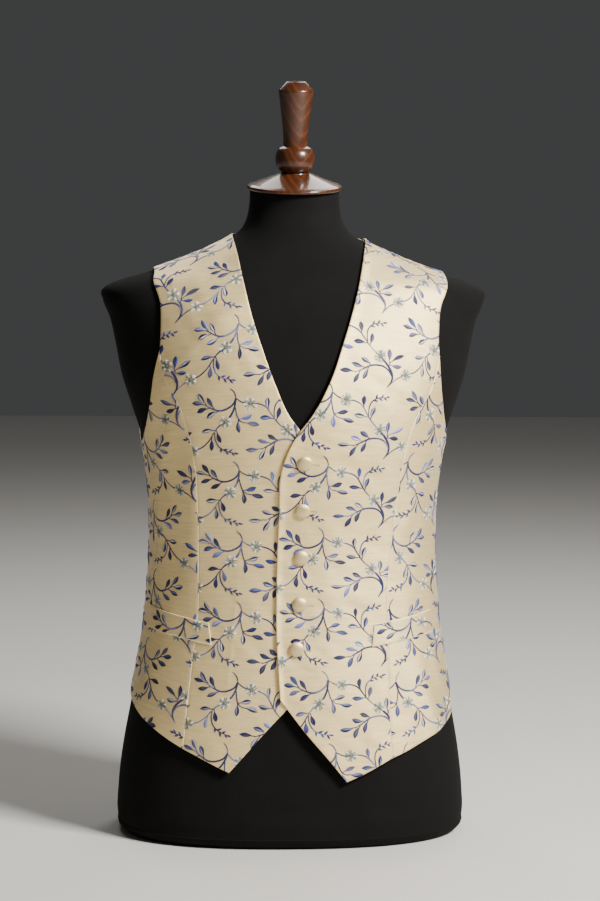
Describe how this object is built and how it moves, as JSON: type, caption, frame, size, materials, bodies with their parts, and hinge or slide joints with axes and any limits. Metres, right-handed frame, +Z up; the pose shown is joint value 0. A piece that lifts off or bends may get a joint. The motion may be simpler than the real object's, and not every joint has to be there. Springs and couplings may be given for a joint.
{
  "type": "embroidered waistcoat on dress form",
  "caption": "Fitted waistcoat with a V neck, pointed hem, slanted welt pockets and a buttoned lap, on a limbless dress form that stands on its flat base.",
  "frame": {"origin": "centre of the form's flat base, on the floor", "axes": "+Z up, the fronts face -Y, +X is the wearer's left"},
  "size_m": [0.4584, 0.2734, 0.9003],
  "materials": {
    "silk": "ivory dupion silk, embroidered with leaf trails in blue and silver thread",
    "button_silk": "plain ivory silk over a domed button",
    "back_silk": "plain ivory lining silk, soft sheen",
    "jersey": "black jersey, matte",
    "wood": "dark brown, turned and polished"
  },
  "bodies": {
    "root": {"front_left_centre": "silk", "front_left_side": "silk", "front_right_centre": "silk", "front_right_side": "silk", "welt_left": "silk", "welt_right": "silk", "button_1": "button_silk", "button_2": "button_silk", "button_3": "button_silk", "button_4": "button_silk", "button_5": "button_silk", "back_left": "back_silk", "back_right": "back_silk", "form_body": "jersey", "neck_cap": "wood", "finial": "wood"}
  },
  "joints": []
}
